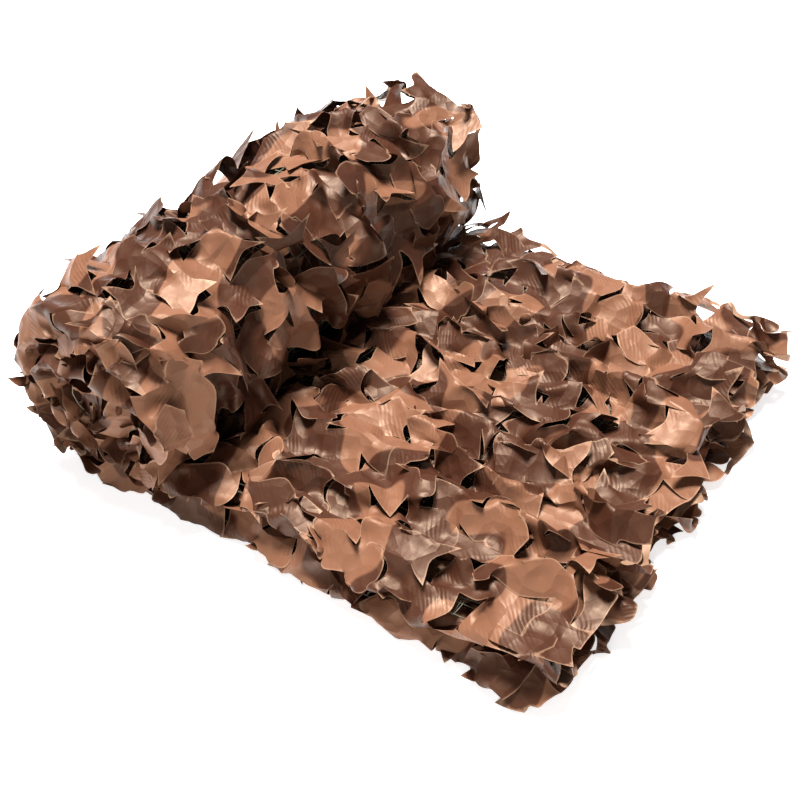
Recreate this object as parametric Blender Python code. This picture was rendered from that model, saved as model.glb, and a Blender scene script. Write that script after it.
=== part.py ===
"""A leaf-cut camouflage net, folded lengthways into a band of four layers and partly rolled up.

The net is two sheets that lie on each other all over: the cloth, whose cut leaves stand up and
give it its loft, and the net of thin cord that the cloth is stitched to. Both are folded back and
forth together, so the band has folded edges along its sides. The band lies flat from its free end
to the roll, runs on under the roll, and winds up inside it.

Frame: +X runs along the band from the roll to the free end, +Y along the roll, +Z up. The origin
is in the middle of the footprint, on the surface that the net lies on. All sizes are in metres.
"""

import math

import bmesh
import bpy
from mathutils import Vector

# The band: the layers of the folded net, one on another.
LAYER_COUNT = 4
HALF_WIDTH = 0.256
FLAT_LENGTH = 0.500  # from under the middle of the roll to the free end
FLAT_LOFT = 0.060  # height of the band where it lies free
PRESSED_LOFT = 0.0275  # and where the roll presses it down
ROLLED_LOFT = 0.0325  # thickness of the band inside the roll
PRESSED_REACH = 0.030  # how far past the roll's middle the band stays pressed
RISE_LENGTH = 0.085  # over which it then swells to its free height

# The roll: a spiral of the band, wider than it is high because it sags.
ROLL_HALF_WIDTH = 0.123
ROLL_HALF_HEIGHT = 0.118
TURN_PITCH = 0.034
TURN_STEPS = 16
ROLL_STEPS = 38
FLOOR_SAG = 0.905  # share of the radius left straight under the middle, where the roll is flat
SIDE_SAG = 0.945  # and a step to the right of it, where the roll leans on the flat stretch
ROLL_TAPER = 0.020  # the near end is this share fatter than the middle, and the far end slimmer
ROLL_SKEW = 0.030  # metres of X for each metre of Y at the roll, and less towards the free end

# Across a layer's share of the loft, from its leaf side (-) to its cord side (+), in layer pitches.
CLOTH_FROM, CLOTH_TO = -0.42, 0.19
CORD_NET_FROM, CORD_NET_TO = 0.25, 0.42

LAYER_STEPS = 4
FOLD_STEPS = 3

# One row for each long edge of the net, in the order in which the zigzag comes to it.
# side: -1 near, 1 far. reach: how far it stands past the half width. wave: how much it wanders.
EDGE_COLUMNS = ("side", "reach", "wave", "phase")
EDGES = [
    dict(zip(EDGE_COLUMNS, row))
    for row in (
        (1, 0.010, 0.006, 0.4),  # free edge of the lowest layer
        (-1, 0.012, 0.005, 1.9),  # fold from the first layer to the second
        (1, 0.006, 0.006, 3.1),  # fold from the second to the third
        (-1, 0.002, 0.006, 4.6),  # fold from the third to the fourth
        (1, 0.000, 0.007, 5.5),  # free edge of the top layer
    )
]
EDGE_WAVE_LENGTH = 0.31

# How far each layer's free end lies from the end of the band, and how far the ends bow out.
END_STAGGER = (0.004, -0.006, 0.002, -0.004)
END_BOW = 0.010
END_REACH = 0.12  # over which both fade away

# Where the flat stretch has its cross sections, measured from under the roll's middle.
FLAT_STATIONS = (0.500, 0.432, 0.355, 0.270, 0.190, 0.135, 0.095, 0.060, 0.030)

SWELL_HEIGHT = 0.05  # share of the loft by which the top rises and falls
SWELL_LENGTH_X, SWELL_LENGTH_Y = 0.27, 0.34


def smooth_step(value):
    """0 below 0, 1 above 1, and an even rise between."""
    t = min(max(value, 0.0), 1.0)
    return t * t * (3 - 2 * t)


def flat_loft(distance):
    """Height of the flat band at this distance from under the roll's middle."""
    rise = smooth_step((distance - PRESSED_REACH) / RISE_LENGTH)
    return PRESSED_LOFT + (FLAT_LOFT - PRESSED_LOFT) * rise


def edge_place(edge, travel):
    """Y of a long edge of the net, at this much travel along the band."""
    wander = edge["wave"] * math.sin(2 * math.pi * travel / EDGE_WAVE_LENGTH + edge["phase"])
    return edge["side"] * (HALF_WIDTH + edge["reach"] + wander)


def zigzag(travel, pitch):
    """The folded net's cross section as points (y, height, normal y, normal height, layer).

    The path runs through the middle of each layer and round each fold. The normal points to the
    cord side, which is the upper side of the first layer and inside its fold to the second.
    """
    points = []
    for layer in range(LAYER_COUNT):
        start, end = EDGES[layer], EDGES[layer + 1]
        direction = end["side"]
        cord_side = -1 if layer % 2 else 1
        y_from = edge_place(start, travel) + direction * pitch / 2
        y_to = edge_place(end, travel) - direction * pitch / 2
        height = (layer - CLOTH_FROM) * pitch
        for step in range(LAYER_STEPS + 1):
            y = y_from + (y_to - y_from) * step / LAYER_STEPS
            points.append((y, height, 0.0, cord_side, layer))
        if layer == LAYER_COUNT - 1:
            break
        for step in range(1, FOLD_STEPS):
            turn = math.pi * step / FOLD_STEPS
            out, up = math.sin(turn), -math.cos(turn)
            y = y_to + direction * out * pitch / 2
            fold_height = (layer + 0.5 + up / 2 - CLOTH_FROM) * pitch
            normal = (-cord_side * direction * out, -cord_side * up)
            points.append((y, fold_height, *normal, layer + step / FOLD_STEPS))
    return points


def end_shift(layer, distance, y):
    """How far a layer's end lies out, fading to nothing away from the free end."""
    low = int(layer)
    high = min(low + 1, LAYER_COUNT - 1)
    reach = END_STAGGER[low] + (END_STAGGER[high] - END_STAGGER[low]) * (layer - low)
    bow = END_BOW * (0.5 - (y / HALF_WIDTH) ** 2)
    return (reach + bow) * smooth_step(1 - (FLAT_LENGTH - distance) / END_REACH)


def sag(step):
    """Share of the radius left at this step round the roll, which is flat where it rests."""
    within_turn = step % TURN_STEPS
    if within_turn == 0:
        return FLOOR_SAG
    if within_turn == TURN_STEPS - 1:
        return SIDE_SAG
    return 1.0


def laid_flat(distance, y, height, layer):
    """A point of the flat stretch."""
    free = smooth_step((distance - PRESSED_REACH - RISE_LENGTH) / RISE_LENGTH)
    ripple = math.sin(2 * math.pi * distance / SWELL_LENGTH_X) * math.cos(
        2 * math.pi * y / SWELL_LENGTH_Y
    )
    swell = 1 + SWELL_HEIGHT * free * ripple
    return Vector((distance + end_shift(layer, distance, y), y, height * swell))


def wound_up(step, y, height):
    """A point of the roll. Step 0 is straight down, and the band runs left, up and over."""
    angle = 2 * math.pi * step / TURN_STEPS
    share = 1 - (TURN_PITCH * step / TURN_STEPS + height) / ROLL_HALF_WIDTH
    share *= sag(step)
    middle_height = ROLL_HALF_HEIGHT * FLOOR_SAG
    x = -ROLL_HALF_WIDTH * share * math.sin(angle)
    z = middle_height - ROLL_HALF_HEIGHT * share * math.cos(angle)
    taper = 1 - ROLL_TAPER * y / HALF_WIDTH
    return Vector((x * taper, y, max(z * taper, 0.0)))


def skewed(point):
    """The roll isn't square to the free end: its far side lies further along X."""
    share = 1 - max(point.x, 0.0) / FLAT_LENGTH
    return Vector((point.x + ROLL_SKEW * share * point.y, point.y, point.z))


def surface_rows(offset):
    """Rows of points across the folded net, from the free end to the heart of the roll.

    The offset from the middle of the layer is given in layer pitches.
    """
    rows = []
    travel = 0.0
    for distance in FLAT_STATIONS:
        travel = FLAT_LENGTH - distance
        pitch = flat_loft(distance) / LAYER_COUNT
        row = []
        for y, height, normal_y, normal_height, layer in zigzag(travel, pitch):
            y += normal_y * offset * pitch
            height += normal_height * offset * pitch
            row.append(skewed(laid_flat(distance, y, height, layer)))
        rows.append(row)
    pitch = ROLLED_LOFT / LAYER_COUNT
    for step in range(ROLL_STEPS + 1):
        radius = ROLL_HALF_WIDTH - TURN_PITCH * step / TURN_STEPS - ROLLED_LOFT / 2
        travel += 2 * math.pi * radius / TURN_STEPS
        row = []
        for y, height, normal_y, normal_height, _ in zigzag(travel, pitch):
            y += normal_y * offset * pitch
            height += normal_height * offset * pitch
            row.append(skewed(wound_up(step, y, height)))
        rows.append(row)
    return rows


def thick_sheet(mesh_name, offset_from, offset_to):
    """A closed mesh between two offsets of the folded net: a loft through unlike sections."""
    sides = [surface_rows(offset_from), surface_rows(offset_to)]
    bm = bmesh.new()
    grids = [[[bm.verts.new(point) for point in row] for row in rows] for rows in sides]
    row_count, column_count = len(grids[0]), len(grids[0][0])
    for row in range(row_count - 1):
        for column in range(column_count - 1):
            for grid in grids:
                bm.faces.new(
                    (
                        grid[row][column],
                        grid[row][column + 1],
                        grid[row + 1][column + 1],
                        grid[row + 1][column],
                    )
                )
    leaf_side, cord_side = grids
    for row in (0, row_count - 1):
        for column in range(column_count - 1):
            rim = (leaf_side[row][column], leaf_side[row][column + 1])
            bm.faces.new((*rim, cord_side[row][column + 1], cord_side[row][column]))
    for column in (0, column_count - 1):
        for row in range(row_count - 1):
            rim = (leaf_side[row][column], leaf_side[row + 1][column])
            bm.faces.new((*rim, cord_side[row + 1][column], cord_side[row][column]))
    bmesh.ops.recalc_face_normals(bm, faces=bm.faces)
    mesh = bpy.data.meshes.new(mesh_name)
    bm.to_mesh(mesh)
    bm.free()
    return mesh


def cloth_material(name, colour, roughness):
    """A plain Principled material."""
    material = bpy.data.materials.new(name)
    material.use_nodes = True
    shader = material.node_tree.nodes["Principled BSDF"]
    shader.inputs["Base Color"].default_value = (*colour, 1.0)
    shader.inputs["Roughness"].default_value = roughness
    shader.inputs["Metallic"].default_value = 0.0
    return material


def add_piece(name, mesh, material, collection):
    """A named object with its material, in the object's collection."""
    mesh.materials.append(material)
    piece = bpy.data.objects.new(name, mesh)
    collection.objects.link(piece)
    return piece


def centre_on_footprint(pieces):
    """Moves the meshes so that the origin is in the middle of their footprint, on the ground."""
    points = [vertex.co for piece in pieces for vertex in piece.data.vertices]
    low = Vector(min(point[axis] for point in points) for axis in range(3))
    high = Vector(max(point[axis] for point in points) for axis in range(3))
    middle = (low + high) / 2
    for piece in pieces:
        for vertex in piece.data.vertices:
            vertex.co -= Vector((middle.x, middle.y, low.z))


def main():
    for leftover in list(bpy.data.objects):
        bpy.data.objects.remove(leftover)
    collection = bpy.data.collections.new("camouflage_net")
    bpy.context.scene.collection.children.link(collection)

    cut_cloth = add_piece(
        "cut_cloth",
        thick_sheet("cut_cloth", CLOTH_FROM, CLOTH_TO),
        cloth_material("brown_cloth", (0.27, 0.145, 0.09), 0.5),
        collection,
    )
    backing_net = add_piece(
        "backing_net",
        thick_sheet("backing_net", CORD_NET_FROM, CORD_NET_TO),
        cloth_material("pale_cord", (0.42, 0.37, 0.28), 0.7),
        collection,
    )
    centre_on_footprint([cut_cloth, backing_net])


main()
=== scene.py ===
"""The finish of a leaf-cut camouflage net: its slit cloth, its net of cords, its print and a stage.

The cloth is one sheet, slit into leaves. One repeat of it is drawn in on its plan, settled as a
sheet that keeps its lengths, and then laid on the folded and rolled band, where it settles again.
A place on the band is its travel (from the free end to the heart of the roll), its along (across
all four layers and round their folds) and its lift (off the cords, to the leaf side). In the flat
cloth, u runs with along and v with travel. All sizes are in metres.
"""

import math

import bpy
import numpy as np
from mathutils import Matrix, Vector


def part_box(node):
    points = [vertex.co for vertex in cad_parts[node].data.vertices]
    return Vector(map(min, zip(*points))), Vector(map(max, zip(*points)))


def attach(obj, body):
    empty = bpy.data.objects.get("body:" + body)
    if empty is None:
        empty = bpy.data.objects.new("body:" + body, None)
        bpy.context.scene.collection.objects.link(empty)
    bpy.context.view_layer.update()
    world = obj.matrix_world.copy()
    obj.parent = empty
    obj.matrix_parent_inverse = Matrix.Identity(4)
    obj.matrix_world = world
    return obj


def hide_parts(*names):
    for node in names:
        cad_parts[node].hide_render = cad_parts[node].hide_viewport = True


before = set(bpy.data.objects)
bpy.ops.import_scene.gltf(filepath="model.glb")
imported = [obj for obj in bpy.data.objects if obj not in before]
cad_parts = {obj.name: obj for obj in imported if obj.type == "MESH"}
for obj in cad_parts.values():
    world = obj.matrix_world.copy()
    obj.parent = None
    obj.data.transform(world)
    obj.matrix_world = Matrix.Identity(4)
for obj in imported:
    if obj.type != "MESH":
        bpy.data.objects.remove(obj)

bl_info = {
    "name": "Camouflage Net",
    "version": (1, 0, 0),
    "blender": (4, 5, 0),
    "location": "3D View > Sidebar > Net",
    "description": "Builds a folded and partly rolled camouflage net, with a stage to see it on",
    "category": "Add Mesh",
}

BODY = "root"
CLOTH_NODE, CORD_NODE = "cut_cloth", "backing_net"
CLOTH_SLOT, CORD_SLOT = "brown_cloth", "pale_cord"

# --- The folded band, with the sizes of the solids.

LAYER_COUNT = 4
HALF_WIDTH = 0.256
FLAT_LENGTH = 0.500
FLAT_LOFT, PRESSED_LOFT, ROLLED_LOFT = 0.060, 0.0275, 0.0325
PRESSED_REACH, RISE_LENGTH = 0.030, 0.085
ROLL_HALF_WIDTH, ROLL_HALF_HEIGHT = 0.123, 0.118
TURN_PITCH = 0.034
TURN_STEPS, ROLL_STEPS = 16, 38
FLOOR_SAG, SIDE_SAG = 0.905, 0.945
ROLL_TAPER, ROLL_SKEW = 0.020, 0.030
LEAF_SIDE, CORD_SIDE = -0.42, 0.33  # across a layer's share of the loft, in layer pitches
EDGE_SIDE = np.array([1, -1, 1, -1, 1])
EDGE_REACH = np.array([0.010, 0.012, 0.006, 0.002, 0.000])
EDGE_WAVE = np.array([0.006, 0.005, 0.006, 0.006, 0.007])
EDGE_PHASE = np.array([0.4, 1.9, 3.1, 4.6, 5.5])
EDGE_WAVE_LENGTH = 0.31
END_STAGGER = np.array([0.004, -0.006, 0.002, -0.004, -0.004])
END_BOW, END_REACH = 0.010, 0.12
SWELL_HEIGHT, SWELL_LENGTH_X, SWELL_LENGTH_Y = 0.05, 0.27, 0.34
FOOTPRINT_MIDDLE = (0.192091, -0.002379)

# How the cloth departs from the solids: the roll is lumpy, and its ends are rounded.
OUTER_GAIN = 0.16
OUTER_LENGTH = 0.95  # of the outer layer's cloth, on its plan, in the outer turn
LUMP_HEIGHT = 0.035  # as a share of the radius, as END_ROUNDING is
END_ROUNDING = 0.20
END_BULGE = 0.016
END_INSET, END_SPREAD = 0.075, 0.095  # where the rounding starts and how far it runs
ROLL_BLEND = 0.03  # travel over which the loft goes over into that of the roll

LAYER_SPAN, FOLD_SPAN = 0.525, 0.020  # how much of the net's width lies in a layer and in a fold
LAYER_STRIDE = LAYER_SPAN + FOLD_SPAN
NET_WIDTH = LAYER_COUNT * LAYER_STRIDE - FOLD_SPAN
OUTER_RADIUS = ROLL_HALF_WIDTH - ROLLED_LOFT / 2
TURN_LOSS = TURN_PITCH / (4 * math.pi)


def smooth_step(value):
    t = np.clip(value, 0.0, 1.0)
    return t * t * (3 - 2 * t)


def travel_at(angle):
    """Travel at this angle round the roll, in radians from straight down."""
    return FLAT_LENGTH + OUTER_RADIUS * angle - TURN_LOSS * angle * angle


def band_travel(plan_travel, along):
    """Travel of a place on the net's plan: the outer layer has further to go round the roll."""
    gain = OUTER_GAIN * (1 - smooth_step(along / LAYER_STRIDE - 1))
    return plan_travel - gain * np.clip(plan_travel - FLAT_LENGTH, 0.0, OUTER_LENGTH)


def angle_at(travel):
    wound = np.maximum(travel - FLAT_LENGTH, 0.0)
    root = np.sqrt(np.maximum(OUTER_RADIUS**2 - 4 * TURN_LOSS * wound, 1e-6))
    return (OUTER_RADIUS - root) / (2 * TURN_LOSS)


NET_LENGTH = travel_at(2 * math.pi * ROLL_STEPS / TURN_STEPS)


def layer_pitch(travel):
    distance = FLAT_LENGTH - travel
    rise = smooth_step((distance - PRESSED_REACH) / RISE_LENGTH)
    flat = PRESSED_LOFT + (FLAT_LOFT - PRESSED_LOFT) * rise
    wound = smooth_step((travel - FLAT_LENGTH) / ROLL_BLEND)
    return (flat + (ROLLED_LOFT - flat) * wound) / LAYER_COUNT


def edge_place(edge, travel):
    wander = EDGE_WAVE[edge] * np.sin(2 * math.pi * travel / EDGE_WAVE_LENGTH + EDGE_PHASE[edge])
    return EDGE_SIDE[edge] * (HALF_WIDTH + EDGE_REACH[edge] + wander)


def layer_of(along):
    """Which layer this place is in, and how far it lies into that layer and its fold."""
    layer = np.clip((along // LAYER_STRIDE).astype(int), 0, LAYER_COUNT - 1)
    return layer, along - layer * LAYER_STRIDE


def folded_section(travel, along):
    """y, height, normal y, normal height and layer; the normal points to the cord side."""
    pitch = layer_pitch(travel)
    layer, local = layer_of(along)
    direction = EDGE_SIDE[layer + 1]
    cord_side = 1 - 2 * (layer % 2)
    y_from = edge_place(layer, travel) + direction * pitch / 2
    y_to = edge_place(layer + 1, travel) - direction * pitch / 2
    last = layer == LAYER_COUNT - 1
    share = np.where(last, local, np.minimum(local, LAYER_SPAN)) / LAYER_SPAN
    turn = np.where(last, 0.0, math.pi * np.clip((local - LAYER_SPAN) / FOLD_SPAN, 0, 1))
    out, up = np.sin(turn), -np.cos(turn)
    y = y_from + (y_to - y_from) * share + direction * out * pitch / 2
    height = (layer + 0.5 + up / 2 - LEAF_SIDE) * pitch
    return y, height, -cord_side * direction * out, -cord_side * up, layer + turn / math.pi


def lump_at(angle, y):
    """How far the roll is pressed in here, from waves that run round it and along it."""
    return np.sin(3 * angle + 11 * y) * np.cos(17 * y + angle) + 0.6 * np.sin(5 * angle - 23 * y)


def lay(travel, along, lift):
    """Places on the folded and rolled band, as rows of x, y, z."""
    y, height, normal_y, normal_height, layer = folded_section(travel, along)
    offset = CORD_SIDE * layer_pitch(travel) - lift
    y = y + normal_y * offset
    height = height + normal_height * offset

    distance = FLAT_LENGTH - travel
    low = layer.astype(int)
    stagger = END_STAGGER[low] + (END_STAGGER[low + 1] - END_STAGGER[low]) * (layer - low)
    bow = END_BOW * (0.5 - (y / HALF_WIDTH) ** 2)
    shift = (stagger + bow) * smooth_step(1 - travel / END_REACH)
    free = smooth_step((distance - PRESSED_REACH - RISE_LENGTH) / RISE_LENGTH)
    ripple = np.sin(2 * math.pi * distance / SWELL_LENGTH_X)
    ripple = ripple * np.cos(2 * math.pi * y / SWELL_LENGTH_Y)
    flat_x, flat_z = distance + shift, height * (1 + SWELL_HEIGHT * free * ripple)

    angle = angle_at(travel)
    step = angle * TURN_STEPS / (2 * math.pi)
    sag = np.interp(
        step % TURN_STEPS, (0, 1, TURN_STEPS - 2, TURN_STEPS - 1, TURN_STEPS),
        (FLOOR_SAG, 1, 1, SIDE_SAG, FLOOR_SAG),
    )
    sag = np.where(step < TURN_STEPS / 2, np.interp(step, (0, 1), (FLOOR_SAG, 1)), sag)
    share = sag * (1 - (TURN_PITCH * step / TURN_STEPS + height) / ROLL_HALF_WIDTH)
    lump = lump_at(angle, y)
    near_end = smooth_step((np.abs(y) - HALF_WIDTH + END_INSET) / END_SPREAD)
    wound_y = y + np.sign(y) * END_BULGE * near_end * np.clip(1.15 - share, 0, 1)
    share = share * (1 - LUMP_HEIGHT * (1 + lump) / 2 * (share > 0)) * (1 - END_ROUNDING * near_end)
    taper = 1 - ROLL_TAPER * y / HALF_WIDTH
    wound_x = -ROLL_HALF_WIDTH * share * np.sin(angle) * taper
    wound_z = ROLL_HALF_HEIGHT * (FLOOR_SAG - share * np.cos(angle)) * taper

    on_flat = distance >= 0
    y = np.where(on_flat, y, wound_y)
    x = np.where(on_flat, flat_x, wound_x)
    z = np.where(on_flat, flat_z, wound_z)
    x = x + ROLL_SKEW * (1 - np.maximum(x, 0.0) / FLAT_LENGTH) * y
    return np.stack((x - FOOTPRINT_MIDDLE[0], y - FOOTPRINT_MIDDLE[1], z), axis=-1)


# --- How the cloth is slit. One repeat is a grid of small squares; slits run along its lines.

SQUARE = 0.0072  # side of a grid square in the flat cloth
LEAF_COLUMNS, LEAF_ROWS = 10, 6  # grid squares for one leaf: along u and along v
REPEAT_COLUMNS, REPEAT_ROWS = 14, 14  # leaves in a repeat; the number of rows is even
GRID_U, GRID_V = LEAF_COLUMNS * REPEAT_COLUMNS, LEAF_ROWS * REPEAT_ROWS
TAKE_UP_U = 0.66  # the drawn-in cloth's plan size along u, as a share of its flat size
TAKE_UP_V = 0.98  # and along v

# Each slit: its path on the grid, how far points near it are shifted to shape the leaf (in
# squares), which of them are sharp, the box of the tongue that it frees, and how common it is.
SLITS = {
    "fish": dict(
        path=[(2, 0), (2, 4), (8, 4), (8, 0)],
        shifts={(2, 4): (-.9, .9), (8, 4): (.9, .9), (4, 4): (0, -.4), (5, 4): (0, -.6),
                (6, 4): (0, -.4), (3, 4): (0, .1), (7, 4): (0, .1), (2, 2): (.6, 0),
                (8, 2): (-.6, 0), (2, 1): (.4, 0), (8, 1): (-.4, 0)},
        sharp=[(2, 4), (8, 4)], tongue=(2, 0, 8, 4), share=0.26),
    "fin": dict(
        path=[(2, 0), (2, 4), (8, 4), (8, 2)],
        shifts={(2, 4): (-.8, 1.1), (8, 4): (.5, .3), (3, 4): (0, .6), (4, 4): (0, .2),
                (6, 4): (0, -.3), (2, 2): (.7, .2), (2, 1): (.4, 0), (8, 3): (.3, 0)},
        sharp=[(2, 4), (8, 4)], tongue=(2, 0, 8, 4), share=0.22),
    "point": dict(
        path=[(2, 0), (2, 3), (3, 4), (7, 4), (8, 3), (8, 0)],
        shifts={(5, 4): (0, 1.2), (4, 4): (0, .5), (6, 4): (0, .5), (2, 3): (.3, 0),
                (8, 3): (-.3, 0), (3, 4): (.2, -.1), (7, 4): (-.2, -.1), (2, 1): (.3, 0),
                (8, 1): (-.3, 0)},
        sharp=[(5, 4)], tongue=(2, 0, 8, 4), share=0.14),
    "round": dict(
        path=[(3, 0), (2, 1), (2, 3), (3, 4), (7, 4), (8, 3), (8, 1), (7, 0)],
        shifts={(5, 4): (0, .5), (4, 4): (0, .35), (6, 4): (0, .35), (2, 2): (-.3, 0),
                (8, 2): (.3, 0)},
        sharp=[], tongue=(2, 0, 8, 4), share=0.12),
    "wave": dict(
        path=[(1, 4), (5, 4), (5, 1), (9, 1)],
        shifts={(5, 4): (.9, .9), (5, 1): (-.9, -.9), (3, 4): (0, -.3), (4, 4): (0, 0),
                (7, 1): (0, .3), (6, 1): (0, 0), (5, 3): (-.2, 0), (5, 2): (.2, 0)},
        sharp=[(5, 4), (5, 1)], tongue=None, share=0.12),
    "hook": dict(
        path=[(2, 1), (2, 4), (7, 4), (7, 2)],
        shifts={(2, 4): (-.5, .9), (7, 4): (1.3, .8), (4, 4): (0, -.4), (5, 4): (0, -.4),
                (2, 2): (.5, 0), (7, 3): (.3, 0)},
        sharp=[(2, 4), (7, 4)], tongue=(2, 0, 7, 4), share=0.14),
}
SHIFT_SPREAD = 0.4  # share of a shift that the points beside it take
GRID_WANDER = ((0.45, (46, 28)), (0.8, (14, 14)))  # in squares, and over how many cells
LEAF_LIFTS = (0.25, 0.6, 1.0, 1.35)
RAGGED_LENGTHS, RAGGED_DEPTHS = (3, 4, 5, 7), (0, 1, 1, 2)  # in grid squares
FOLDED_SHARE = 0.6  # of the flat plates, which have sharp folds round them
TURNED_SHARE = 0.4  # of the leaves, which point the other way
HEADROOM, HEADROOM_WANDER = 0.85, 0.22  # share of the ceiling that the leaves may reach
HEADROOM_RANGE, HEADROOM_CELLS = (0.5, 1.15), (28, 28)
NO_LABEL = 9  # above the four labels that the squares at a point have


def wander(random, shape, cells):
    """A smooth random field over the repeat that meets itself at the edges."""
    values = random.normal(size=cells)
    places = [np.arange(size) * count / size for size, count in zip(shape, cells)]
    low = [place.astype(int) for place in places]
    blend = [smooth_step(place - start) for place, start in zip(places, low)]
    (i, j), (p, q) = low, (blend[0][:, None], blend[1][None])
    i2, j2 = (i + 1) % cells[0], (j + 1) % cells[1]
    near = values[i][:, j] * (1 - p) + values[i2][:, j] * p
    far = values[i][:, j2] * (1 - p) + values[i2][:, j2] * p
    return near * (1 - q) + far * q


def leaf_places():
    """The grid point of each leaf: every second row lies half a leaf further on."""
    for row in range(REPEAT_ROWS):
        for column in range(REPEAT_COLUMNS):
            yield column * LEAF_COLUMNS + LEAF_COLUMNS // 2 * (row % 2), row * LEAF_ROWS


class SlitRepeat:
    """One repeat of the slit cloth, which meets itself at its edges."""

    def __init__(self, seed):
        self.random = np.random.default_rng(seed)
        shape = (GRID_U, GRID_V)
        self.slit_u = np.zeros(shape, bool)  # the line from point (i, j) to (i + 1, j) is slit
        self.slit_v = np.zeros(shape, bool)  # the line from point (i, j) to (i, j + 1) is slit
        self.shift = np.zeros((*shape, 2))
        self.sharp = np.zeros(shape)
        self.rise = np.zeros(shape)  # how strongly each square is lifted
        self.fold_u = np.zeros(shape, bool)  # sharp folds, numbered as the slits are
        self.fold_v = np.zeros(shape, bool)
        self.plates = []
        self.add_lands()
        kinds = list(SLITS)
        shares = np.array([SLITS[kind]["share"] for kind in kinds])
        for corner in leaf_places():
            kind = kinds[self.random.choice(len(kinds), p=shares / shares.sum())]
            turned = bool(self.random.random() < TURNED_SHARE)
            self.slit(SLITS[kind], corner, turned, bool(self.random.integers(2)))
        beside = sum(np.roll(self.shift, step, axis) for step in (1, -1) for axis in (0, 1))
        self.shift = self.shift + SHIFT_SPREAD * beside
        for axis in range(2):
            for most, cells in GRID_WANDER:
                self.shift[..., axis] += most * wander(self.random, shape, cells)
        # The stretches between slits stand in waves: up before a slit, and down behind it.
        i, j = np.arange(GRID_U)[:, None] + 0.5, np.arange(GRID_V)[None]
        ribbon = (j - 4) // LEAF_ROWS + 1
        middle = LEAF_COLUMNS / 2 * (1 + ribbon % 2)
        self.wave = np.cos(2 * math.pi * (i - middle) / LEAF_COLUMNS)
        self.wave *= 1 + WAVE_UNEVEN * wander(self.random, shape, (REPEAT_COLUMNS, REPEAT_ROWS))
        headroom = HEADROOM + HEADROOM_WANDER * wander(self.random, shape, HEADROOM_CELLS)
        self.headroom = np.clip(headroom, *HEADROOM_RANGE)
        self.label = self.wedge_labels()
        for x0, x1, y0, y1 in self.plates:
            if self.random.random() < FOLDED_SHARE:
                for y in (y0, y1):
                    self.fold_u[np.arange(x0, x1) % GRID_U, y % GRID_V] = True
                for x in (x0, x1):
                    self.fold_v[x % GRID_U, np.arange(y0, y1) % GRID_V] = True

    def add_lands(self):
        """The stretches between leaves fold as flat plates too."""
        for u, v in leaf_places():
            side = int(self.random.integers(-1, 2))
            self.plates.append((u - 2, u + 2, v, v + 4))
            self.plates.append((u - 2 + side, u + 3 + side, v + 4, v + 6))
            self.plates.append((u + 3 + side, u + 8 + side, v + 4, v + 6))

    def slit(self, kind, corner, turned, mirrored):
        """Slits the cloth for one leaf of this kind, with its corner at this grid point."""

        def faced(x, y):
            x = -x if mirrored else x
            return (-x, -y) if turned else (x, y)

        def placed(a, b):
            x, y = faced(a - LEAF_COLUMNS / 2, b - LEAF_ROWS / 2)
            return round(x + LEAF_COLUMNS / 2 + corner[0]), round(y + LEAF_ROWS / 2 + corner[1])

        steps = [kind["path"][0]]
        for a, b in kind["path"][1:]:
            while steps[-1] != (a, b):  # a slanting stretch goes in stairs
                x, y = steps[-1]
                if y != b and (x == a or len(steps) % 2):
                    steps.append((x, y + int(math.copysign(1, b - y))))
                else:
                    steps.append((x + int(math.copysign(1, a - x)), y))
        points = [placed(*step) for step in steps]
        for (x0, y0), (x1, y1) in zip(points, points[1:]):
            slits = self.slit_u if y0 == y1 else self.slit_v
            slits[min(x0, x1) % GRID_U, min(y0, y1) % GRID_V] = True
        for point, shift in kind["shifts"].items():
            x, y = placed(*point)
            self.shift[x % GRID_U, y % GRID_V] += faced(*shift)
        for point in kind["sharp"]:
            x, y = placed(*point)
            self.sharp[x % GRID_U, y % GRID_V] = 1.0
        if kind["tongue"] is None:
            return
        a0, b0, a1, b1 = kind["tongue"]
        (x0, y0), (x1, y1) = placed(a0, b0), placed(a1, b1)
        (x0, x1), (y0, y1) = sorted((x0, x1)), sorted((y0, y1))
        lift = self.random.choice(LEAF_LIFTS)
        for y in range(y0, y1):
            from_root = (y + 0.5 - y0) if not turned else (y1 - y - 0.5)
            for x in range(x0, x1):
                self.rise[x % GRID_U, y % GRID_V] = lift * from_root / (y1 - y0)
        free = (y0 + 1, y1) if not turned else (y0, y1 - 1)
        self.plates.append((x0, x1, *free))

    def wedge_labels(self):
        """For each grid point, which of its four squares stay joined there, as equal labels."""
        south, west = np.roll(self.slit_v, 1, axis=1), np.roll(self.slit_u, 1, axis=0)
        label = np.tile(np.arange(4), (GRID_U, GRID_V, 1))
        for _ in range(3):
            for slits, a, b in (
                (south, 0, 1), (self.slit_u, 1, 2), (self.slit_v, 2, 3), (west, 3, 0)
            ):
                joined = np.where(slits, NO_LABEL, np.minimum(label[..., a], label[..., b]))
                label[..., a] = np.minimum(label[..., a], joined)
                label[..., b] = np.minimum(label[..., b], joined)
        return label


def is_ragged_off(random, squares_u, squares_v, count_u, count_v):
    """Which squares are cut away along the net's edges, so that leaves stand out from them."""
    depths = []
    for count in (count_u, count_u, count_v, count_v):
        lengths = random.choice(RAGGED_LENGTHS, size=count)
        levels = random.choice(RAGGED_DEPTHS, size=count)
        depths.append(np.repeat(levels, lengths)[:count])
    near_end, far_end, first_edge, last_edge = depths
    return (
        (squares_v < near_end[squares_u]) | (squares_v >= count_v - far_end[squares_u])
        | (squares_u < first_edge[squares_v]) | (squares_u >= count_u - last_edge[squares_v])
    )


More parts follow.
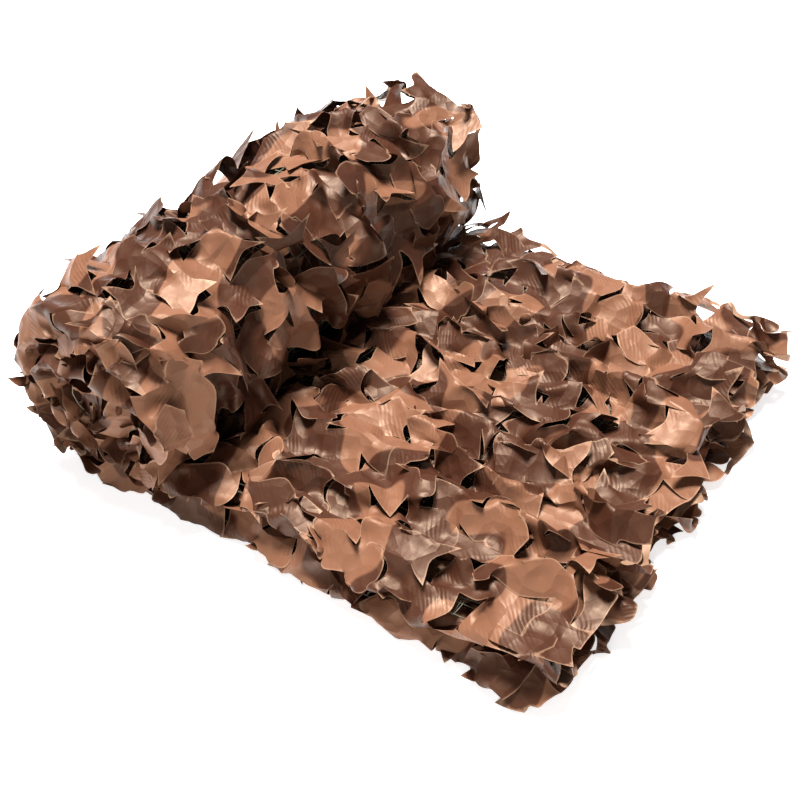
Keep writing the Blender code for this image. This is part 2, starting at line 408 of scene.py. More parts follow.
def is_attached(cloth, kept):
    """Which of the kept squares still hang together with the inside of the net."""
    u, v = cloth.square_u, cloth.square_v
    from_edge = np.minimum(np.minimum(u, u.max() - u), np.minimum(v, v.max() - v))
    joined = np.zeros(len(cloth.u), bool)
    joined[cloth.squares[from_edge > LEAF_COLUMNS]] = True
    near = cloth.squares[kept & (from_edge <= LEAF_COLUMNS)]
    for _ in range(3 * LEAF_COLUMNS):
        joined[near[joined[near].any(axis=1)]] = True
    return kept & joined[cloth.squares].any(axis=2)


class Cloth:
    """A stretch of the slit cloth as a mesh of squares, with the links that keep its lengths."""

    def __init__(self, repeat, first_u, last_u, first_v, last_v):
        self.repeat = repeat
        stride = last_v - first_v + 2
        u, v = np.meshgrid(np.arange(first_u, last_u), np.arange(first_v, last_v), indexing="ij")
        corners = []
        for du, dv, wedge in ((0, 0, 2), (1, 0, 3), (1, 1, 0), (0, 1, 1)):
            i, j = u + du, v + dv
            label = repeat.label[i % GRID_U, j % GRID_V, wedge]
            corners.append(((i - first_u) * stride + j - first_v) * 4 + label)
        used, index = np.unique(np.stack(corners, -1), return_inverse=True)
        self.squares = index.reshape(*u.shape, 4)
        self.square_u, self.square_v = u, v
        self.u = used // 4 // stride + first_u
        self.v = used // 4 % stride + first_v
        self.wedge = used % 4
        shift = repeat.shift[self.u % GRID_U, self.v % GRID_V]
        self.flat = SQUARE * (np.stack((self.u, self.v), -1) + shift)
        self.sharp = repeat.sharp[self.u % GRID_U, self.v % GRID_V]
        self.open_u = ~repeat.slit_v[u[1:] % GRID_U, v[1:] % GRID_V]  # squares joined along u
        self.open_v = ~repeat.slit_u[u[:, 1:] % GRID_U, v[:, 1:] % GRID_V]
        self.plates = self.plate_members(first_u, last_u, first_v, last_v)

    def key(self):
        """Names each point by its place in the repeat."""
        return ((self.u % GRID_U) * GRID_V + self.v % GRID_V) * 4 + self.wedge

    def at_points(self, values):
        """Takes values of the repeat's squares over to the points, as means."""
        u, v = self.square_u % GRID_U, self.square_v % GRID_V
        corners = self.squares.reshape(-1)
        spread = np.repeat(values[u, v].reshape(-1), 4)
        return np.bincount(corners, spread) / np.bincount(corners)

    def links(self):
        """Pairs of points by kind, in groups in which no point comes twice."""
        c, open_u, open_v = self.squares, self.open_u, self.open_v

        def pairs(a, b, chosen=...):
            return np.stack((a, b), -1)[chosen].reshape(-1, 2)

        kinds = [
            ("edge", self.u, 1, [pairs(c[..., 0], c[..., 1]), pairs(c[..., 3], c[..., 2])]),
            ("edge", self.v, 1, [pairs(c[..., 0], c[..., 3]), pairs(c[..., 1], c[..., 2])]),
            ("shear", self.u, 1, [pairs(c[..., 0], c[..., 2]), pairs(c[..., 1], c[..., 3])]),
            ("bend", self.u, 2, [pairs(c[:-1, :, 0], c[1:, :, 1], open_u),
                                 pairs(c[:-1, :, 3], c[1:, :, 2], open_u)]),
            ("bend", self.v, 2, [pairs(c[:, :-1, 0], c[:, 1:, 3], open_v),
                                 pairs(c[:, :-1, 1], c[:, 1:, 2], open_v)]),
        ]
        groups = []
        for kind, place, stride, found in kinds:
            found = np.unique(np.sort(np.concatenate(found), axis=1), axis=0)
            turn = place[found].min(axis=1) // stride % 2
            for parity in (0, 1):
                rest = found[turn == parity]
                while len(rest):
                    ends = rest.reshape(-1)
                    first = np.zeros(len(ends), bool)
                    first[np.unique(ends, return_index=True)[1]] = True
                    alone = first.reshape(-1, 2).all(axis=1)
                    a, b = rest[alone].T
                    length = np.linalg.norm(self.flat[a] - self.flat[b], axis=1)
                    groups.append((kind, a.copy(), b.copy(), length))
                    rest = rest[~alone]
        return groups

    def plate_members(self, first_u, last_u, first_v, last_v):
        """The points of each leaf that lies whole in this cloth, and the leaf that each is in."""
        points, leaves = [], []
        for x0, x1, y0, y1 in self.repeat.plates:
            for i in range((first_u - x0) // GRID_U, (last_u - x0) // GRID_U + 1):
                for j in range((first_v - y0) // GRID_V, (last_v - y0) // GRID_V + 1):
                    u, v = i * GRID_U - first_u, j * GRID_V - first_v
                    if x0 + u < 0 or y0 + v < 0 or x1 + u > last_u - first_u:
                        continue
                    if y1 + v > last_v - first_v:
                        continue
                    found = np.unique(self.squares[x0 + u:x1 + u, y0 + v:y1 + v])
                    leaves.append(np.full(len(found), len(points)))
                    points.append(found)
        return np.concatenate(points), np.concatenate(leaves)


# --- The solver: points step by their own speed, and links put their lengths right again.

SHEAR_STIFFNESS = 0.9
BEND_STIFFNESS = 0.5
SPEED_KEPT = 0.92
LEAF_FLATNESS = 0.6


class Flattener:
    """Holds each leaf and land near a flat plate of its cut shape."""

    def __init__(self, cloth, loose=None):
        points, leaves = cloth.plates
        if loose is not None:
            whole = np.bincount(leaves, ~loose[points]) == 0
            kept = whole[leaves]
            points, leaves = points[kept], leaves[kept]
            leaves = np.unique(leaves, return_inverse=True)[1]
        self.points, self.leaves = points, leaves
        self.count = int(leaves.max()) + 1
        self.sizes = np.bincount(leaves).astype(float)
        self.flat = cloth.flat[points] - self.middles(cloth.flat[points])
        self.shared = np.maximum(np.bincount(points, minlength=len(cloth.flat)), 1)

    def middles(self, values):
        sums = [np.bincount(self.leaves, column, self.count) for column in values.T]
        return (np.stack(sums, -1) / self.sizes[:, None])[self.leaves]

    def apply(self, place, strength):
        now = place[self.points]
        middle = self.middles(now)
        spread = np.empty((self.count, 3, 2))
        for a in range(3):
            for b in range(2):
                spread[:, a, b] = np.bincount(
                    self.leaves, (now[:, a] - middle[:, a]) * self.flat[:, b], self.count
                )
        left, _, right = np.linalg.svd(spread, full_matrices=False)
        turned = np.einsum("nij,nj->ni", (left @ right)[self.leaves], self.flat)
        pull = (middle + turned - now) * strength
        for axis in range(3):
            total = np.bincount(self.points, pull[:, axis], len(place))
            place[:, axis] += total / self.shared


def settle(place, groups, flattener, steps, push, keep):
    """Moves the points for this many steps. push(step) gives the speed that is added, and keep
    puts points back where they may be."""
    before = place.copy()
    stiffness = {"edge": 1.0, "shear": SHEAR_STIFFNESS, "bend": BEND_STIFFNESS}
    repeated = [group for group in groups if group[0] != "bend"]
    for step in range(steps):
        speed = (place - before) * SPEED_KEPT + push(step)
        before = place.copy()
        place = place + speed
        for kind, a, b, length in groups + repeated:
            gap = place[b] - place[a]
            now = np.sqrt(np.einsum("ij,ij->i", gap, gap)) + 1e-12
            share = (now - length) / now * (0.5 * stiffness[kind])
            if kind == "bend":
                share = np.minimum(share, 0.0)
            gap *= share[:, None]
            place[a] += gap
            place[b] -= gap
        flattener.apply(place, LEAF_FLATNESS)
        keep(place)
    return place


# --- The repeat on its plan.

MARGIN = 7  # grid squares beyond the repeat that copy its other side
CEILING = 0.037
REST_LIFT = 0.010
LIFT_WANDER = 0.006
LIFT_HEIGHT = 0.036
WAVE_HEIGHT = 0.018
WAVE_UNEVEN = 0.8
STITCH_LIFT = 0.003
LOWEST = 0.0005
UNEVEN_SQUARES = 6  # grid squares in a cell of the uneven lift
STITCH_EVERY = 3
RISING_STEPS = 120
RISE_SPEED = 9e-5
FALL_SPEED = 1e-5
REPEAT_STEPS = 300


def is_stitch(cloth):
    """Which points are sewn down: on the lines between the rows of leaves, at every third leaf."""
    row = cloth.v // LEAF_ROWS
    from_first = cloth.u - LEAF_COLUMNS // 2 * (row % 2)
    column = from_first // LEAF_COLUMNS
    on_line = (cloth.v % LEAF_ROWS == LEAF_ROWS - 1) & (from_first % LEAF_COLUMNS == 0)
    return on_line & ((row % REPEAT_ROWS + column % REPEAT_COLUMNS) % STITCH_EVERY == 0)


def settled_repeat(repeat, steps):
    """Plan place and lift of every point of one repeat, after the cloth has been drawn in."""
    cloth = Cloth(repeat, -MARGIN, GRID_U + MARGIN, -MARGIN, GRID_V + MARGIN)
    inside = (cloth.u >= 0) & (cloth.u < GRID_U) & (cloth.v >= 0) & (cloth.v < GRID_V)
    keys = cloth.key()
    own = np.flatnonzero(inside)
    own = own[np.argsort(keys[own])]
    copies = np.flatnonzero(~inside)
    sources = own[np.searchsorted(keys[own], keys[copies])]
    plan = np.array((TAKE_UP_U, TAKE_UP_V))
    size = SQUARE * np.array((GRID_U, GRID_V)) * plan
    moved = np.zeros((len(copies), 3))
    moved[:, 0] = (cloth.u[copies] - cloth.u[sources]) // GRID_U * size[0]
    moved[:, 1] = (cloth.v[copies] - cloth.v[sources]) // GRID_V * size[1]

    rise, wave = cloth.at_points(repeat.rise), cloth.at_points(repeat.wave)
    highest = CEILING * cloth.at_points(repeat.headroom)
    place = np.zeros((len(cloth.u), 3))
    place[:, :2] = cloth.flat * plan
    cells = (GRID_U // UNEVEN_SQUARES, GRID_V // UNEVEN_SQUARES)
    uneven = wander(repeat.random, (GRID_U, GRID_V), cells)
    uneven = uneven[cloth.u % GRID_U, cloth.v % GRID_V]
    place[:, 2] = REST_LIFT + LIFT_WANDER * uneven + LIFT_HEIGHT * rise**1.5 + WAVE_HEIGHT * wave
    sewn = np.flatnonzero(is_stitch(cloth))
    sewn_place = place[sewn].copy()
    sewn_place[:, 2] = STITCH_LIFT

    def push(step):
        speed = np.zeros_like(place)
        speed[:, 2] = RISE_SPEED * rise if step < RISING_STEPS else -FALL_SPEED
        return speed

    def keep(place):
        place[:, 2] = np.clip(place[:, 2], LOWEST, highest)
        place[sewn] = sewn_place
        place[copies] = place[sources] + moved

    place = settle(place, cloth.links(), Flattener(cloth), steps, push, keep)
    return keys[own], place[own], (cloth.u[own], cloth.v[own]), size


# --- The whole net on the band.

INNER_FILL = 1.25  # share of a layer's pitch that its leaves fill between other layers
FOLD_LIFT = 0.60  # at the folds that show, as a share of the full lift
ROLL_FOLD_LIFT = 1.0  # and at those in the roll's ends
END_LIFT = 0.80  # for the inner layers at the free end
ROLL_LIFT = 1.1
FREE_END = 0.07  # travel over which the inner layers open at the free end
TOP_FADE = (0.085, 0.05)  # short of the roll: where the top layer's lift ends, and over how far
ROLL_RISE, ROLL_FADE = (0.25, 0.35), (0.45, 0.4)  # the same at the outer turn's ends, in radians
FOLD_NEAR = 0.030  # how near a fold the lift goes over into that of the fold
SIDE_RISE = (0.3, 0.5)  # radians at which the roll's side begins, and over how far
SINK_FROM, SINK_OVER = 0.5, 0.3  # share of the full lift
SINK = 0.002  # how far the outer layers are pushed in between the layers below
EDGE_BAND = 0.065
BAND_STEPS = 60
MOST_MOVE = 0.026
WORLD_FALL = 3e-5
MOST_BESIDE, MOST_ABOVE = 0.024, 0.0135  # how far the leaves may stand out from the solid
FLOOR_GAP = 0.0006
LEAST_LIFT = 0.0016  # off the cords, for all but the sewn points
SPRING_OUT = 6.5e-4  # off the roll, for the tips of the leaves
SPRING_STEPS = 45
WAVE_PUSH = 1.4  # in and out, for the stretches between the slits
TIP_GAIN = 0.028  # how much further the tips may stand off the roll


def shown(travel, along):
    """Share of the full lift that the leaves have here: all on the outside, less inside."""
    pitch = layer_pitch(travel)
    inner = INNER_FILL * pitch / CEILING
    end = smooth_step(1 - travel / FREE_END)
    inner = inner + (END_LIFT - inner) * end
    angle = angle_at(travel)
    top = smooth_step((FLAT_LENGTH - TOP_FADE[0] - travel) / TOP_FADE[1])
    top = inner + (1 - inner) * top
    roll = smooth_step((angle - ROLL_RISE[0]) / ROLL_RISE[1])
    roll = roll * smooth_step((2 * math.pi - ROLL_FADE[0] - angle) / ROLL_FADE[1])
    roll = inner + (ROLL_LIFT - inner) * roll
    layer, local = layer_of(along)
    flat_part = np.choose(layer, (roll, inner, inner, top))
    # Folds 0-1 and 2-3 show the leaf side; near them the lift goes over into that of the fold.
    to_fold = np.where(layer % 2 == 0, LAYER_SPAN - local, local)
    near_fold = smooth_step(1 - to_fold / FOLD_NEAR)
    on_roll = smooth_step((angle - SIDE_RISE[0]) / SIDE_RISE[1])
    fold = FOLD_LIFT + (ROLL_FOLD_LIFT - FOLD_LIFT) * on_roll
    return flat_part + (fold - flat_part) * near_fold


def base_of(travel, along, sunk):
    """Where the cloth's base lies, and which way is straight off it, to the leaf side."""
    step = 0.001
    foot = lay(travel, along, -sunk)
    outwards = lay(travel, along, step - sunk) - foot
    across = lay(travel, along + step, -sunk) - lay(travel, along - step, -sunk)
    onwards = lay(travel + step, along, -sunk) - lay(travel - step, along, -sunk)
    normal = np.cross(across, onwards)
    normal *= np.sign(np.einsum("ij,ij->i", normal, outwards))[:, None]
    return foot, normal / (np.linalg.norm(normal, axis=1)[:, None] + 1e-12)


def net_in_place(repeat, steps, band_steps):
    """The whole cloth, where each of its points lies, and where each lies on the band."""
    keys, settled, (own_u, own_v), size = settled_repeat(repeat, steps)
    count_u = round(NET_WIDTH / (SQUARE * TAKE_UP_U))
    count_v = round(NET_LENGTH / (SQUARE * TAKE_UP_V))
    cloth = Cloth(repeat, 0, count_u, 0, count_v)
    source = np.searchsorted(keys, cloth.key())
    plan = settled[source].copy()
    plan[:, 0] += (cloth.u - own_u[source]) // GRID_U * size[0]
    plan[:, 1] += (cloth.v - own_v[source]) // GRID_V * size[1]
    along = plan[:, 0]
    travel = band_travel(plan[:, 1], along)
    full = shown(travel, along)
    sunk = sink_at(travel, along)
    start = lay(travel, along, plan[:, 2] * full - sunk)
    foot, normal = base_of(travel, along, sunk)
    on_roll = smooth_step((angle_at(travel) - SIDE_RISE[0]) / SIDE_RISE[1])
    tips = cloth.at_points(repeat.rise) * on_roll
    waves = cloth.at_points(repeat.wave) * on_roll
    highest = CEILING * full * cloth.at_points(repeat.headroom) + TIP_GAIN * tips
    loose = piece_of(travel, along) != INSIDE  # what shows may settle on the band
    held = ~loose | is_stitch(cloth)
    held_place = start[held].copy()
    low, high = (np.array(corner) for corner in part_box(CLOTH_NODE))
    low = np.append(low[:2] - MOST_BESIDE, FLOOR_GAP)
    high = high + (MOST_BESIDE, MOST_BESIDE, MOST_ABOVE)

    outwards = SPRING_OUT * (tips + WAVE_PUSH * waves)[:, None] * normal

    def push(step):
        speed = outwards.copy() if step < SPRING_STEPS else np.zeros_like(start)
        speed[:, 2] -= WORLD_FALL
        return speed

    def keep(place):
        offset = place - start
        far = np.sqrt(np.einsum("ij,ij->i", offset, offset)) + 1e-12
        offset *= np.minimum(1.0, MOST_MOVE / far)[:, None]
        np.add(start, offset, out=place)
        rise = np.einsum("ij,ij->i", place - foot, normal)
        place += (np.clip(rise, LEAST_LIFT, highest) - rise)[:, None] * normal
        np.clip(place, low, high, out=place)
        place[held] = held_place

    groups = []
    for kind, a, b, length in cloth.links():
        used = loose[a] | loose[b]
        if used.any():
            groups.append((kind, a[used], b[used], length[used]))
    place = start
    if band_steps:
        place = settle(start, groups, Flattener(cloth, loose), band_steps, push, keep)
    return cloth, np.clip(place, low, high), travel, along


TOP, OUTSIDE, NEAR_EDGES, FAR_EDGES, INSIDE = range(5)


def piece_of(travel, along):
    """Which piece of the cloth this place belongs to."""
    layer, local = layer_of(along)
    angle = angle_at(travel)
    top = (along > 3 * LAYER_STRIDE - FOLD_SPAN / 2) & (travel < FLAT_LENGTH - 0.05)
    outside = (along < LAYER_SPAN + FOLD_SPAN / 2) & (angle > 0.1) & (angle < 2 * math.pi - 0.1)
    edges = (np.abs(local - LAYER_SPAN / 2) > LAYER_SPAN / 2 - EDGE_BAND) | (travel < FREE_END)
    near = np.where(layer % 2 == 0, local > LAYER_SPAN / 2, local < LAYER_SPAN / 2)
    edges = np.where(edges, np.where(near, NEAR_EDGES, FAR_EDGES), INSIDE)
    return np.where(top, TOP, np.where(outside, OUTSIDE, edges))


# --- Materials.


class Value:
    """A socket of a material's nodes, on which Python's operators work."""

    def __init__(self, maker, socket):
        self.maker, self.socket = maker, socket

    def _math(self, operation, *values):
        return self.maker.node("Math", {"operation": operation}, *values)

    def __add__(self, other):
        return self._math("ADD", self, other)

    def __mul__(self, other):
        return self._math("MULTIPLY", self, other)


class Finish:
    """A material, and the one way in which nodes are added to it."""

    def __init__(self, name, **settings):
        self.material = bpy.data.materials.new(name)
        self.material.use_nodes = True
        self.tree = self.material.node_tree
        self.surface = self.tree.nodes["Principled BSDF"]
        for socket, value in settings.items():
            self.surface.inputs[socket.replace("_", " ")].default_value = value

    def node(self, kind, settings, *values, out=0, **named):
        """A node of this kind, as the Value of one of its outputs."""
        node = self.tree.nodes.new("ShaderNode" + kind)
        for name, value in settings.items():
            if name == "stops":
                while len(node.color_ramp.elements) < len(value):
                    node.color_ramp.elements.new(0.5)
                for element, (position, colour) in zip(node.color_ramp.elements, value):
                    element.position, element.color = position, (*colour, 1.0)
            else:
                setattr(node, name, value)
        for socket, value in [*enumerate(values), *named.items()]:
            target = node.inputs[socket.replace("_", " ") if isinstance(socket, str) else socket]
            if isinstance(value, Value):
                self.tree.links.new(value.socket, target)
            else:
                target.default_value = value
        return Value(self, node.outputs[out])

    def put(self, socket, value):
        self.tree.links.new(value.socket, self.surface.inputs[socket])


LIGHT_BROWN = (0.136, 0.057, 0.0305)
DARK_BROWN = (0.038, 0.0114, 0.0055)
PRINT_SCALE = (9, 13, 1)
PRINT_SHARE = 0.465
PRINT_SOFTNESS = 0.015  # of the edges of the blotches
EDGE_PALE_AND_HIGHLIGHT_COLOUR = (0.34, 0.20, 0.125)  # of the cut edges: paler cut cloth, with a painted highlight where the edges catch the light
EDGE_HIGHLIGHT_FROM, EDGE_HIGHLIGHT_STRENGTH = 0.84, 0.5
CRUMPLE = 5.0  # depth of the crumples beside that of the weave
SHEEN = 0.34
GLOSS = (0.41, 0.55)  # range of the cloth's roughness
CORD_COLOUR = (0.10, 0.092, 0.058)


def cloth_finish(settings):
    finish = Finish("printed_cloth", Roughness=0.5, Specular_IOR_Level=SHEEN,
                    Specular_Tint=(1.0, 0.72, 0.52, 1.0))
    cut = finish.node("UVMap", {"uv_map": "cut"})
    placed = finish.node("Mapping", {}, Vector=cut, Rotation=(0, 0, 0.25), Scale=PRINT_SCALE)
    blotch = finish.node("TexNoise", {}, Vector=placed, Scale=1.0, Detail=1.0, Roughness=0.4)
    stops = [
        (PRINT_SHARE, tuple(settings.light_brown)),
        (PRINT_SHARE + PRINT_SOFTNESS, tuple(settings.dark_brown)),
    ]
    colour = finish.node("ValToRGB", {"stops": stops}, blotch)
    # The cut edges are drawn paler: partly the paler cut cloth, partly a painted highlight where
    # the edges catch the light.
    edge_highlight = finish.node("Attribute", {"attribute_name": "cut_edge"}, out="Fac")
    edge_highlight = finish.node("MapRange", {}, edge_highlight, EDGE_HIGHLIGHT_FROM, 1.0, 0.0, EDGE_HIGHLIGHT_STRENGTH)
    colour = finish.node("Mix", {"data_type": "RGBA"}, out=2, Factor=edge_highlight, A=colour,
                         B=(*EDGE_PALE_AND_HIGHLIGHT_COLOUR, 1.0))
    finish.put("Base Color", colour)
    # Fine pleats that the drawn-in cloth keeps, and the weave.
    ribs = finish.node("Mapping", {}, Vector=cut, Rotation=(0, 0, 0.9))
    pleats = finish.node("TexWave", {"wave_type": "BANDS"}, Vector=ribs, Scale=75.0,
                         Distortion=9.0, Detail=1.0, Detail_Scale=0.35)
    patches = finish.node("TexNoise", {}, Vector=cut, Scale=26.0, Detail=0.0)
    where = finish.node("MapRange", {}, patches, 0.52, 0.66, 0.0, 1.0)
    creased = finish.node("TexNoise", {}, Vector=cut, Scale=90.0, Detail=2.0)
    crumples = finish.node("TexVoronoi", {"feature": "F1"}, Vector=cut, Scale=55.0)
    height = pleats * where * 0.35 + creased + crumples * CRUMPLE
    finish.put("Normal", finish.node("Bump", {}, Strength=0.4, Distance=0.0012, Height=height))
    finish.put("Roughness", finish.node("MapRange", {}, creased, 0.3, 0.7, *GLOSS))
    return finish.material


def cord_finish(settings):
    finish = Finish("pale_cord", Roughness=0.75)
    place = finish.node("TexCoord", {}, out="Object")
    noise = finish.node("TexNoise", {}, Vector=place, Scale=60.0, Detail=2.0)
    cord = Vector(settings.cord_colour)
    stops = [(0.35, tuple(cord * 0.7)), (0.65, tuple(cord * 1.2))]
    finish.put("Base Color", finish.node("ValToRGB", {"stops": stops}, noise))
    twist = finish.node("TexNoise", {}, Vector=place, Scale=900.0, Detail=1.0)
    finish.put("Normal", finish.node("Bump", {}, Strength=0.5, Distance=0.0003, Height=twist))
    return finish.material


# --- Pieces.

CLOTH_PIECES = {
    TOP: ("cloth_on_top", 1),
    OUTSIDE: ("cloth_round_roll", 1),
    NEAR_EDGES: ("cloth_at_near_side", 1),
    FAR_EDGES: ("cloth_at_far_side", 1),
    INSIDE: ("cloth_inside", 0),
}
FOLD_SHARPNESS = 0.8
CORD_SPACING = 0.029
CORD_RADIUS = 0.0006
CORD_STEP = 0.0145
CORD_SIDES = 3
CORD_LIFT = -0.0004
CORD_INSET = 0.036  # from the long edges of the cloth
CORD_END_INSET = 0.060  # and from its free end
CORD_CROSSING = 0.0008  # how far the one set lies past the other
CORD_WANDER, CORD_WAVES = 0.004, (31, 29)  # the waves of each set, in radians for each metre
OFF_AXIS = (0.31, 0.17, 0.93)  # a direction that no cord follows
FULL_SHARE = 0.3  # of its own box; a piece whose cloth fills less of it counts as a strip


def add_object(name, data, place=(0, 0, 0)):
    thing = bpy.data.objects.new(name, data)
    thing.location = place
    bpy.context.scene.collection.objects.link(thing)
    return thing


def add_piece(name, points, faces, material, slot, *nodes):
    mesh = bpy.data.meshes.new(name)
    mesh.from_pydata(points.tolist(), [], faces.tolist())
    mesh.polygons.foreach_set("use_smooth", [True] * len(mesh.polygons))
    mesh.materials.append(material)
    piece = add_object(name, mesh)
    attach(piece, BODY)
    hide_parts(*nodes)
    return piece


def set_attribute(mesh, name, domain, values):
    kind = "BOOLEAN" if values.dtype == bool else "FLOAT"
    mesh.attributes.new(name, kind, domain).data.foreach_set("value", values)


def mark_folds(mesh, repeat, u, v):
    """Keeps the folds round the flat plates sharp."""
    ends = np.empty(len(mesh.edges) * 2, np.int64)
    mesh.edges.foreach_get("vertices", ends)
    a, b = ends.reshape(-1, 2).T
    i, j = np.minimum(u[a], u[b]) % GRID_U, np.minimum(v[a], v[b]) % GRID_V
    folded = np.where(v[a] == v[b], repeat.fold_u[i, j], repeat.fold_v[i, j])
    set_attribute(mesh, "crease_edge", "EDGE", folded.astype(np.float32) * FOLD_SHARPNESS)
    set_attribute(mesh, "sharp_edge", "EDGE", folded)


def is_cut(squares, count):
    """Which points lie on a slit or at the edge of the cloth."""
    sides = np.sort(np.stack((squares, np.roll(squares, -1, axis=1)), -1).reshape(-1, 2), axis=1)
    sides, uses = np.unique(sides, axis=0, return_counts=True)
    cut = np.zeros(count, bool)
    cut[sides[uses == 1]] = True
    return cut


def build_cloth(settings):
    repeat = SlitRepeat(settings.seed)
    steps = ((REPEAT_STEPS, BAND_STEPS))
    cloth, place, travel, along = net_in_place(repeat, *steps)
    material = cloth_finish(settings)
    squares = cloth.squares.reshape(-1, 4)
    middle_travel, middle_along = travel[squares].mean(axis=1), along[squares].mean(axis=1)
    owner = piece_of(middle_travel, middle_along)
    count_u, count_v = cloth.square_u.max() + 1, cloth.square_v.max() + 1
    cut_off = is_ragged_off(repeat.random, cloth.square_u, cloth.square_v, count_u, count_v)
    owner[~is_attached(cloth, ~cut_off).reshape(-1)] = -1
    cut_edge = is_cut(squares[owner >= 0], len(cloth.u))
    for code, (name, levels) in CLOTH_PIECES.items():
        faces = squares[owner == code]
        used, index = np.unique(faces, return_inverse=True)
        index = index.reshape(-1, 4)
        piece = add_piece(name, place[used], index, material, CLOTH_SLOT, CLOTH_NODE)
        cut = piece.data.uv_layers.new(name="cut")
        cut.data.foreach_set("uv", cloth.flat[used][index.reshape(-1)].ravel())
        for key, values in (("crease_vert", cloth.sharp), ("cut_edge", cut_edge)):
            set_attribute(piece.data, key, "POINT", values[used].astype(np.float32))
        mark_folds(piece.data, repeat, cloth.u[used], cloth.v[used])
        if levels:
            rounded = piece.modifiers.new("rounded", "SUBSURF")
            rounded.levels = rounded.render_levels = levels
        corners = cloth.flat[faces]
        d1, d2 = corners[:, 2] - corners[:, 0], corners[:, 3] - corners[:, 1]
        area = float(np.abs(d1[:, 0] * d2[:, 1] - d1[:, 1] * d2[:, 0]).sum() / 2)
        size = cloth.flat[used].max(axis=0) - cloth.flat[used].min(axis=0)
        flat = (float(size[0]), float(size[1]))
        if area < FULL_SHARE * flat[0] * flat[1]:
            flat = (float(size[0]), area / float(size[0]))


def tubes(lines, radius, sides):
    """Points and faces of round cords along these lines of points."""
    points, faces, count = [], [], 0
    turn = np.arange(sides) * 2 * math.pi / sides
    for line in lines:
        ahead = np.gradient(line, axis=0)
        ahead /= np.linalg.norm(ahead, axis=1)[:, None] + 1e-12
        aside = np.cross(ahead, OFF_AXIS)
        aside /= np.linalg.norm(aside, axis=1)[:, None] + 1e-12
        up = np.cross(aside, ahead)
        ring = aside[:, None] * np.cos(turn)[:, None] + up[:, None] * np.sin(turn)[:, None]
        points.append((line[:, None] + radius * ring).reshape(-1, 3))
        start = count + np.arange(len(line) - 1)[:, None] * sides
        side, after = np.arange(sides)[None], (np.arange(sides)[None] + 1) % sides
        quads = np.stack((start + side, start + after, start + sides + after,
                          start + sides + side), -1)
        faces.append(quads.reshape(-1, 4))
        count += len(line) * sides
    return np.concatenate(points), np.concatenate(faces)


def sink_at(travel, along):
    """How far the cloth and the cords are pushed in here, where the leaves show."""
    return SINK * smooth_step((shown(travel, along) - SINK_FROM) / SINK_OVER)


def build_cords(settings):
    """Cords in both directions, which run across each other."""
    random = np.random.default_rng(settings.seed + 1)
    onwards, across = (CORD_END_INSET, NET_LENGTH), (CORD_INSET, NET_WIDTH - CORD_INSET)
    lines = []
    for run, spread, waves, lift in (
        (onwards, across, CORD_WAVES[0], CORD_LIFT),
        (across, onwards, CORD_WAVES[1], CORD_LIFT - CORD_CROSSING),
    ):
        for fixed in np.arange(*spread, CORD_SPACING):
            place = np.arange(*run, CORD_STEP)
            beside = fixed + CORD_WANDER * np.sin(place * waves + random.uniform(0, 6.3))
            travel, along = (place, beside) if run is onwards else (beside, place)
            lines.append(lay(travel, along, lift - sink_at(travel, along)))
    points, faces = tubes(lines, CORD_RADIUS, CORD_SIDES)
    points[:, 2] = np.maximum(points[:, 2], FLOOR_GAP)
    add_piece("cord_net", points, faces, cord_finish(settings), CORD_SLOT, CORD_NODE)


# --- The stage.

CAMERA_TARGET = Vector((-0.009, -0.0375, 0.03))
CAMERA_AZIMUTH, CAMERA_ELEVATION = math.radians(34), math.radians(43)
CAMERA_DISTANCE = 1.27
CAMERA_LENS = 54
AMBIENT = 0.18
KEY_PLACE = (-1.5, 1.0, 5.6)
KEY_SIZE = 1.9
FLOOR_GLOW = 0.65  # keeps the net's shadow on the floor faint
KEY_POWER = 1400
FILL_PLACE = (0.5, -1.9, 0.9)
FILL_SIZE = 1.5
FILL_POWER = 20


def build_stage(settings):
    mesh = bpy.data.meshes.new("floor")
    mesh.from_pydata([(-6, -6, 0), (6, -6, 0), (6, 6, 0), (-6, 6, 0)], [], [(0, 1, 2, 3)])
    floor = add_object("floor", mesh)
    paint = Finish("pale_floor", Base_Color=(0.9, 0.9, 0.9, 1), Roughness=0.9,
                   Emission_Color=(1, 1, 1, 1), Emission_Strength=FLOOR_GLOW)
    mesh.materials.append(paint.material)

    world = bpy.data.worlds.new("studio")
    bpy.context.scene.world = world
    world.use_nodes = True
    world.node_tree.nodes["Background"].inputs["Color"].default_value = (1, 1, 1, 1)
    world.node_tree.nodes["Background"].inputs["Strength"].default_value = settings.ambient

    for name, place, size, power in (
        ("key", KEY_PLACE, KEY_SIZE, KEY_POWER), ("fill", FILL_PLACE, FILL_SIZE, FILL_POWER)
    ):
        light = bpy.data.lights.new(name, "AREA")
        light.energy, light.size = power, size
        lamp = add_object(name, light, place)
        lamp.rotation_euler = (-Vector(place)).to_track_quat("-Z", "Y").to_euler()

    data = bpy.data.cameras.new("camera")
    data.lens = CAMERA_LENS
    back = Vector((
        math.sin(CAMERA_AZIMUTH) * math.cos(CAMERA_ELEVATION),
        -math.cos(CAMERA_AZIMUTH) * math.cos(CAMERA_ELEVATION),
        math.sin(CAMERA_ELEVATION),
    ))
    camera = add_object("camera", data, CAMERA_TARGET + back * CAMERA_DISTANCE)
    camera.rotation_euler = back.to_track_quat("Z", "Y").to_euler()
    bpy.context.scene.camera = camera
    bpy.context.scene.view_settings.view_transform = "Standard"


# --- The add-on.


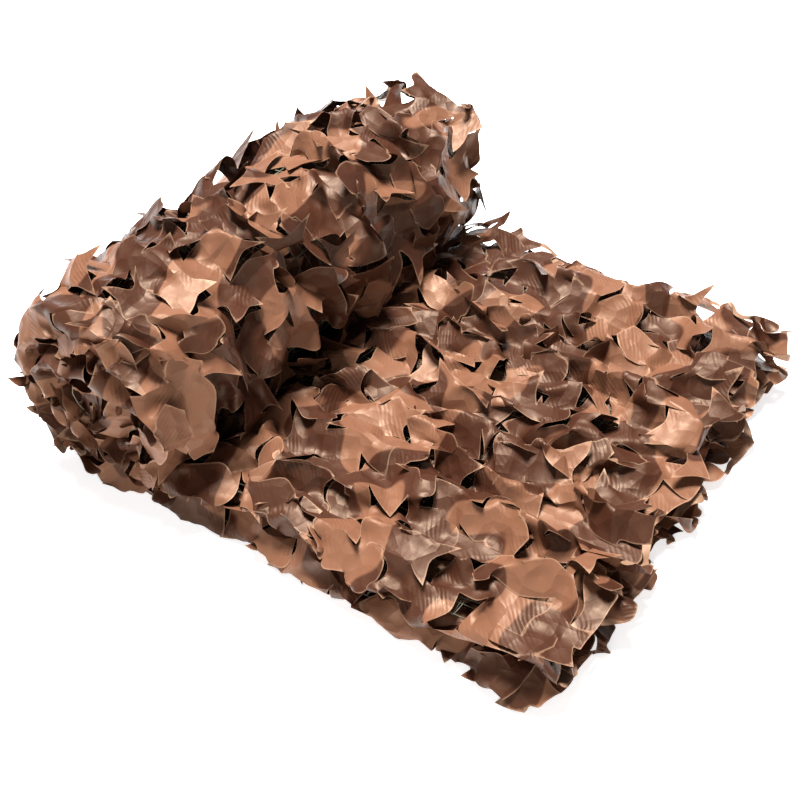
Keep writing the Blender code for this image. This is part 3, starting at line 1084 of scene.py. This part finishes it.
class NetSettings(bpy.types.PropertyGroup):
    """What a user may change before the net is built."""

    seed: bpy.props.IntProperty(name="Seed", description="Sets the order of the leaves", default=7)
    light_brown: bpy.props.FloatVectorProperty(
        name="Light Brown", description="Ground colour of the print",
        subtype="COLOR", size=3, min=0, max=1, default=LIGHT_BROWN)
    dark_brown: bpy.props.FloatVectorProperty(
        name="Dark Brown", description="Colour of the printed blotches",
        subtype="COLOR", size=3, min=0, max=1, default=DARK_BROWN)
    cord_colour: bpy.props.FloatVectorProperty(
        name="Cord", description="Colour of the cord net",
        subtype="COLOR", size=3, min=0, max=1, default=CORD_COLOUR)
    ambient: bpy.props.FloatProperty(
        name="Ambient", description="Strength of the even light", min=0, default=AMBIENT)


class NET_OT_cloth(bpy.types.Operator):
    """Adds the slit cloth, on the folded and rolled band"""

    bl_idname = "net.cloth"
    bl_label = "Slit Cloth"

    def execute(self, context):
        build_cloth(context.scene.net_settings)
        return {"FINISHED"}


class NET_OT_cords(bpy.types.Operator):
    """Adds the net of thin cord that the cloth is sewn to"""

    bl_idname = "net.cords"
    bl_label = "Cord Net"

    def execute(self, context):
        build_cords(context.scene.net_settings)
        return {"FINISHED"}


class NET_OT_stage(bpy.types.Operator):
    """Adds the floor, the lights and the camera"""

    bl_idname = "net.stage"
    bl_label = "Stage"

    def execute(self, context):
        build_stage(context.scene.net_settings)
        return {"FINISHED"}


class NET_PT_panel(bpy.types.Panel):
    """The net's pieces and settings"""

    bl_idname = "NET_PT_panel"
    bl_label = "Camouflage Net"
    bl_space_type = "VIEW_3D"
    bl_region_type = "UI"
    bl_category = "Net"

    def draw(self, context):
        settings = context.scene.net_settings
        for name in ("seed", "light_brown", "dark_brown", "cord_colour", "ambient"):
            self.layout.prop(settings, name)
        for operator in OPERATORS:
            self.layout.operator(operator.bl_idname)


OPERATORS = (NET_OT_cloth, NET_OT_cords, NET_OT_stage)
CLASSES = (NetSettings, *OPERATORS, NET_PT_panel)


def register():
    for cls in CLASSES:
        bpy.utils.register_class(cls)
    bpy.types.Scene.net_settings = bpy.props.PointerProperty(type=NetSettings)


def unregister():
    del bpy.types.Scene.net_settings
    for cls in reversed(CLASSES):
        bpy.utils.unregister_class(cls)


def main():
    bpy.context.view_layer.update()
    register()
    bpy.ops.net.stage()
    bpy.ops.net.cloth()
    bpy.ops.net.cords()


if __name__ == "__main__":
    main()
